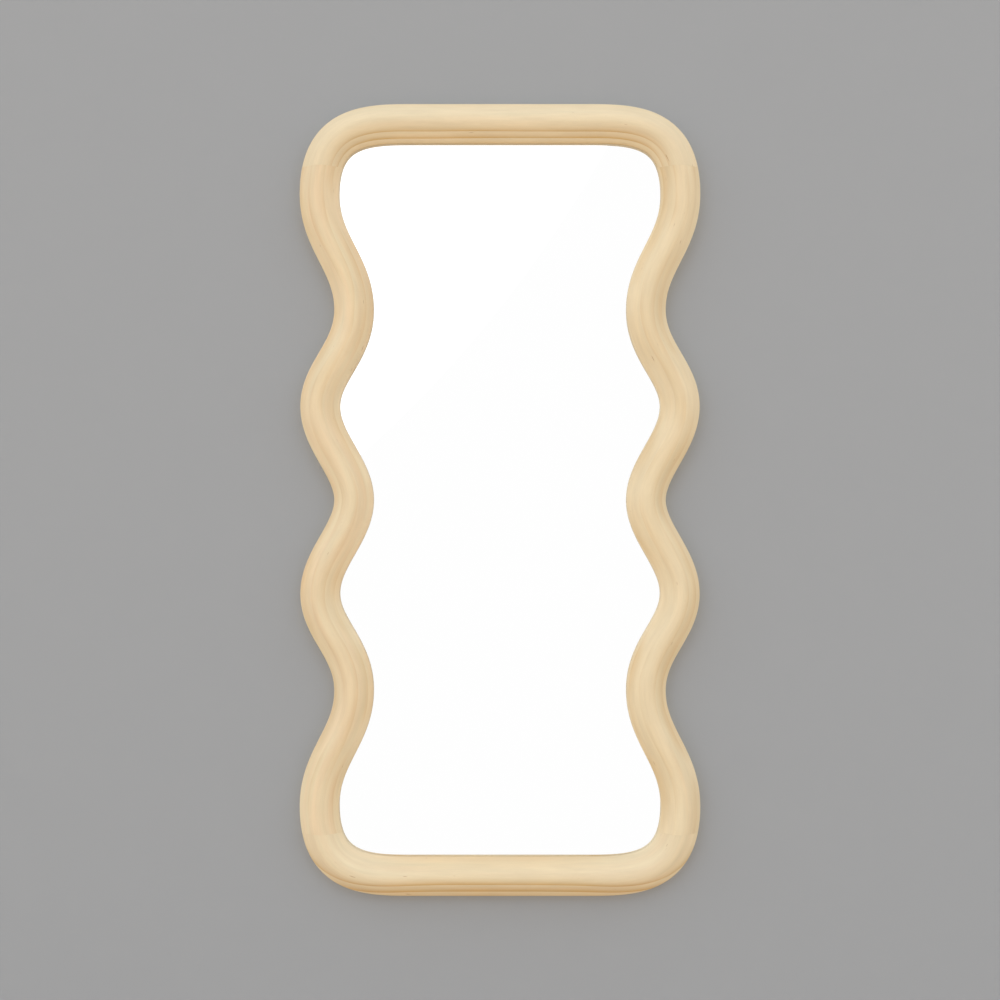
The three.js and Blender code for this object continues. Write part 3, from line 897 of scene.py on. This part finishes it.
class MakeSettingBlocks(Making):
    """Makes the rubber blocks that the glass stands on"""

    bl_idname = "wavy_mirror.setting_blocks"
    bl_label = "Setting Blocks"

    def make(self):
        nodes = nodes_named("setting_block_")
        low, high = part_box(nodes[0])
        half = (high - low) / 2
        groove, pitch = 0.0003, 0.0025
        count = int(2 * half.x / pitch)
        rib = half.x / count
        outline = [(-half.x, -half.z), (half.x, -half.z), (half.x, half.z)]
        for i in range(count):
            middle = half.x - (2 * i + 1) * rib
            outline += [(middle + rib * share, half.z - depth)
                        for share, depth in ((0.8, 0), (0.3, groove), (-0.3, groove), (-0.8, 0))]
        outline.append((-half.x, half.z))
        block = prism(outline, -half.y, half.y, "Y")
        mesh = copies("setting_blocks", [(middle_of(node), 0.0) for node in nodes], block, rubber())
        new_piece("setting_blocks", mesh, "frame", nodes)


def rubber():
    if "black_rubber" in bpy.data.materials:
        return bpy.data.materials["black_rubber"]
    return mottled("black_rubber", settings().finish.rubber, (1800,) * 3, 0.85, 1.15, (0.6, 0.8), 0.00003)


class MakeBumpers(Making):
    """Makes the rubber bumpers between the frame and the wall"""

    bl_idname = "wavy_mirror.bumpers"
    bl_label = "Wall Bumpers"

    def make(self):
        nodes = nodes_named("wall_bumper_")
        low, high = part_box(nodes[0])
        back, wall = low.y, high.y
        frame_radius = (high.x - low.x) / 2
        wall_radius, edge, dish, brim, bevel = frame_radius - 0.002, 0.0012, 0.0004, 0.0010, 0.0003
        profile = [(0, wall - dish), (wall_radius * 0.35, wall - dish), (wall_radius * 0.5, wall)]
        profile += arc((wall_radius - edge, wall - edge), edge, 90, 20, 5)
        profile += [(frame_radius, back + brim), (frame_radius, back + bevel), (frame_radius - bevel, back),
                    (0, back)]
        spots = [((middle_of(node).x, 0, middle_of(node).z), 0.0) for node in nodes]
        mesh = copies("wall_bumpers", spots, lathe(profile, 48), rubber())
        new_piece("wall_bumpers", mesh, "frame", nodes)


def screw_mesh():
    """A pan-head wood screw along Y: its seat at 0, its head towards +Y and its point towards -Y."""
    h = settings().hardware
    around, per_turn, crest_share, thinnest = 20, 8, 0.28, 0.05
    shank, neck, crown, brim, rounding, bevel = 0.0012, h.screw_core * 1.25, 0.0028, 0.0006, 0.0003, 0.0002
    head = [(max(r, bevel), y) for r, y in arc((0, h.head_height - crown), crown, 90, 30, 6)]
    head += [(h.head_radius - rounding, brim + rounding), (h.head_radius, brim), (h.head_radius, bevel),
             (h.head_radius - bevel, 0.0), (h.screw_radius, 0.0), (neck, -bevel), (neck, -shank)]
    rings = [[(r * math.cos(t), y, r * math.sin(t)) for t in turns(around)] for r, y in head]
    rows = int((h.screw_length - shank) / h.screw_pitch * per_turn)
    for row in range(rows + 1):
        depth = shank + (h.screw_length - shank) * row / rows
        taper = min(1.0, max(thinnest, (h.screw_length - depth) / h.screw_tip))
        ring = []
        for t in turns(around):
            phase = (depth / h.screw_pitch + t / (2 * math.pi)) % 1
            crest = max(0.0, 1 - abs(phase - 0.5) / crest_share)
            reach = taper * (h.screw_core + (h.screw_radius - h.screw_core) * crest)
            ring.append((reach * math.cos(t), -depth, reach * math.sin(t)))
        rings.append(ring)

    clearance, wide, narrow, floor_share = 0.0004, 0.00055, 0.00035, 0.45
    levels = [(h.head_height + clearance, h.recess_reach, wide),
              (h.head_height - h.recess_depth, h.recess_reach * floor_share, narrow)]
    cutters = []
    for turn in (0, math.pi / 2):
        spin = Matrix.Rotation(turn, 3, "Y")
        cutters.append(skin([[spin @ Vector((x * half, y, z * thick)) for x, z in SQUARE]
                             for y, half, thick in levels]))
    return carved(skin(rings), cutters)


class MakeScrews(Making):
    """Makes the screws of the turn buttons and of the hanger straps"""

    bl_idname = "wavy_mirror.screws"
    bl_label = "Screws"

    def make(self):
        hardware = settings().hardware
        nodes = nodes_named("turn_button_screw_") + nodes_named("hanger_screw_")
        spots = []
        for node in nodes:
            middle, seat = middle_of(node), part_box(node)[1].y - hardware.head_height
            spots.append(((middle.x, seat, middle.z), 0.0))
        plated = zinc("zinc_plated_screws", 5.0)
        mesh = copies("screws", spots, screw_mesh(), plated, math.pi / 2, hardware.seed)
        new_piece("screws", mesh, "frame", nodes)


class MakeTurnButtons(Making):
    """Makes the turn buttons that hold the backing board in"""

    bl_idname = "wavy_mirror.turn_buttons"
    bl_label = "Turn Buttons"

    def make(self):
        h = settings().hardware
        plated = zinc("zinc_plated_buttons", 9.0)
        nodes = [node for node in nodes_named("turn_button_") if "screw" not in node]
        for node in nodes:
            low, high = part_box(node)
            middle = middle_of(node)
            screw = middle_of(node.replace("turn_button_", "turn_button_screw_"))
            turn = math.atan2(screw.z - middle.z, middle.x - screw.x)
            button = self.button(h, (high.y - low.y) / 2)
            mesh = copies(f"plate_{node}", [((screw.x, middle.y, screw.z), turn)], button, plated)
            new_piece(f"plate_{node}", mesh, body_holding(node), [node])

    @staticmethod
    def button(h, half):
        """A flat strip with round ends, its hole at the origin and its tip towards +X."""
        tip = h.button_length - h.button_tip
        outline = arc((0, 0), h.button_radius, 90, 270, 24) + arc((tip, 0), h.button_tip, -90, 90, 20)
        blank = prism(outline, -half, half, "Y")
        hole = prism(circle(h.hole_radius), -2 * half, 2 * half, "Y")
        return carved(blank, [hole], edge=0.0002)


class MakeHangers(Making):
    """Makes the hanger straps and the rings that swing in them"""

    bl_idname = "wavy_mirror.hangers"
    bl_label = "Hangers"

    def make(self):
        h = settings().hardware
        plated = zinc("zinc_plated_hangers", 13.0)
        for side in ("left", "right"):
            strap_node, ring_node = f"hanger_strap_{side}", f"hanger_ring_{side}"
            low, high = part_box(strap_node)
            ring_low, ring_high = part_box(ring_node)
            bar = middle_of(ring_node)
            bar.z = ring_low.z + h.ring_wire
            strap = self.strap(h, low, high, bar)
            mesh = copies(f"folded_strap_{side}", [(bar, 0.0)], strap, plated)
            new_piece(f"folded_strap_{side}", mesh, "frame", [strap_node])
            ring = tidy_mesh(self.ring(h, bar, (ring_high.x - ring_low.x) / 2 - h.ring_wire, plated))
            new_piece(f"wire_ring_{side}", ring, body_holding(ring_node), [ring_node])

    @staticmethod
    def strap(h, low, high, bar):
        """Two layers of sheet folded round the ring's bar, which is at the origin."""
        inner = h.ring_wire + h.ring_play
        outer = inner + h.strap_layer
        face = low.y - bar.y
        bottom = low.z - bar.z
        folded = face + 2 * h.strap_layer
        side = [(face, bottom), (face, 0.0), *arc((0, 0), outer, 180, -60, 30)]
        side += [(folded, -h.strap_fold), (folded, bottom)]
        half = (high.x - low.x) / 2
        blank = prism(side, -half, half, "X")
        outline = [(half, outer * 2), (-half, outer * 2)] + arc((0, bottom + half), half, 180, 360, 32)
        through = 0.02
        shaped = carved(blank, [prism(outline, -through, through, "Y")], "INTERSECT")
        cutters = [prism(circle(inner), -2 * half, 2 * half, "X")]
        for below in (h.upper_hole, h.lower_hole):
            cutters.append(prism(circle(h.hole_radius, 32, -below), -through, through, "Y"))
        return carved(shaped, cutters, edge=0.00015)

    @staticmethod
    def ring(h, bar, bow, material):
        """A D of wire whose straight bar lies in the strap's eye."""
        bend = h.ring_corner
        path = [(-bow + bend, 0), (bow - bend, 0)]
        path += arc((bow - bend, bend), bend, -90, 0, 8)[1:]
        path += arc((0, h.ring_leg), bow, 0, 180, 40)
        path += arc((bend - bow, bend), bend, 180, 270, 8)[:-1]
        wire = poly_curve("wire", circle(h.ring_wire, 16), True)
        return swept("ring", poly_curve("ring_path", path, True), wire, material, bar, 0.0006)


# ---- Stage ----

class MakeStage(Making):
    """Makes the wall, the floor, the lamps and the camera"""

    bl_idname = "wavy_mirror.stage"
    bl_label = "Stage"

    def make(self):
        stage = settings().stage
        self.wall(stage)
        self.floor(stage)
        self.sky(stage)
        self.lamp("soft_light", "SUN", (-0.5, -0.7, 0.5), stage.key, angle=math.radians(80))
        self.lamp("lamp_behind", "AREA", (0.6, 2.6, 1.2), stage.back, shape="RECTANGLE", size=2.4,
                  size_y=2.0)
        self.camera(stage)
        bpy.context.scene.view_settings.view_transform = "Standard"

    @staticmethod
    def lamp(name, kind, place, energy, **shape):
        """A lamp that shines from a place towards the middle of the mirror."""
        data = bpy.data.lights.new(name, kind)
        data.energy = energy
        for label, value in shape.items():
            setattr(data, label, value)
        lamp = link(bpy.data.objects.new(name, data))
        lamp.location = place
        lamp.rotation_mode = "QUATERNION"
        lamp.rotation_quaternion = (-Vector(place)).to_track_quat("-Z", "Y")
        lamp.visible_camera = False

    @staticmethod
    def camera(stage):
        data = bpy.data.cameras.new("camera")
        data.lens = stage.lens
        data.sensor_width = 36
        camera = link(bpy.data.objects.new("camera", data))
        camera.location = (0, -stage.camera_distance, 0)
        camera.rotation_euler = (math.pi / 2, 0, 0)
        bpy.context.scene.camera = camera

    @staticmethod
    def sheet(name, corners, material):
        mesh = bpy.data.meshes.new(name)
        mesh.from_pydata(corners, [], [range(len(corners))])
        mesh.materials.append(material)
        link(bpy.data.objects.new(name, mesh))

    def wall(self, stage):
        """Plain wall that shows only from its front. The light of the room behind it reaches the back."""
        material, w = new_material("plain_wall")
        place = w.object_position()
        tone = w.spread(w.noise(place, (9, 9, 9), 3.0), 0.3, 0.7, 0.996, 1.004)
        plain = w.add("ShaderNodeBsdfDiffuse", w.vector("SCALE", tuple(stage.wall), tone))
        clear = w.add("ShaderNodeBsdfTransparent")
        rays, shiny = w.rays()
        far = w.math("GREATER_THAN", rays["Ray Length"], -3 * FRAME_BACK)
        solid = w.math("MULTIPLY", far, w.math("SUBTRACT", 1.0, shiny))
        solid = w.math("MAXIMUM", solid, rays["Is Camera Ray"])
        front = w.math("SUBTRACT", 1.0, w.add("ShaderNodeNewGeometry").outputs["Backfacing"])
        mixed = w.add("ShaderNodeMixShader", w.math("MULTIPLY", solid, front), clear, plain)
        w.join(mixed, w.tree.nodes["Material Output"].inputs["Surface"])
        reach, top = 4.0, 3.0
        corners = [(-reach, 0, stage.floor_z), (reach, 0, stage.floor_z), (reach, 0, top), (-reach, 0, top)]
        self.sheet("wall", corners, material)

    def floor(self, stage):
        """Pale floor, which keeps the mirror's shadow and glows plain white where metal and glass show it, a
        painted reflection.
        """
        material, w = new_material("pale_floor")
        place = w.object_position()
        tone = w.spread(w.noise(place, (7, 7, 7), 3.0), 0.3, 0.7, 0.99, 1.01)
        rays, shiny = w.rays()
        hue = w.blend(rays["Is Camera Ray"], opaque(stage.floor_glow), opaque(stage.floor))
        plain = w.add("ShaderNodeBsdfDiffuse", w.vector("SCALE", hue, tone))
        # Painted reflection: for rays that metal and glass send on, the floor glows plain white, though it
        # is no lamp
        white = w.add("ShaderNodeEmission", (1, 1, 1, 1), 1.0)
        mixed = w.add("ShaderNodeMixShader", shiny, plain, white)
        w.join(mixed, w.tree.nodes["Material Output"].inputs["Surface"])
        reach = 60.0
        self.sheet("floor", [(x * reach, y * reach, stage.floor_z) for x, y in SQUARE], material)

    def sky(self, stage):
        """Even light from all round, which shows as plain grey, and as white in metal and glass."""
        world = bpy.data.worlds.new("studio")
        bpy.context.scene.world = world
        world.use_nodes = True
        w = Wiring(world.node_tree)
        rays, shiny = w.rays()
        seen = w.blend(rays["Is Camera Ray"], opaque([stage.sky] * 3), opaque(stage.backdrop))
        shown = w.blend(shiny, seen, (1, 1, 1, 1))
        w.join(shown, w.tree.nodes["Background"].inputs["Color"])


MAKERS = (MakeMoulding, MakeDowels, MakeGlass, MakeBoard, MakeSettingBlocks, MakeBumpers, MakeScrews,
          MakeTurnButtons, MakeHangers, MakeStage)


class MirrorPanel(bpy.types.Panel):
    """Lists the steps that make the mirror."""

    bl_idname = "VIEW3D_PT_wavy_mirror"
    bl_label = "Wavy Wall Mirror"
    bl_space_type = "VIEW_3D"
    bl_region_type = "UI"
    bl_category = "Mirror"

    def draw(self, context):
        column = self.layout.column(align=True)
        for maker in MAKERS:
            column.operator(maker.bl_idname, text=maker.bl_label)


CLASSES = (WaveSettings, MouldingSettings, HardwareSettings, FinishSettings, StageSettings, MirrorSettings,
           *MAKERS, MirrorPanel)


def register():
    for cls in CLASSES:
        bpy.utils.register_class(cls)
    bpy.types.Scene.wavy_mirror = PointerProperty(type=MirrorSettings)


def unregister():
    del bpy.types.Scene.wavy_mirror
    for cls in reversed(CLASSES):
        bpy.utils.unregister_class(cls)


def main():
    register()
    for maker in MAKERS:
        group, step = maker.bl_idname.split(".")
        getattr(getattr(bpy.ops, group), step)()
    bpy.context.view_layer.update()


if __name__ == "__main__":
    main()
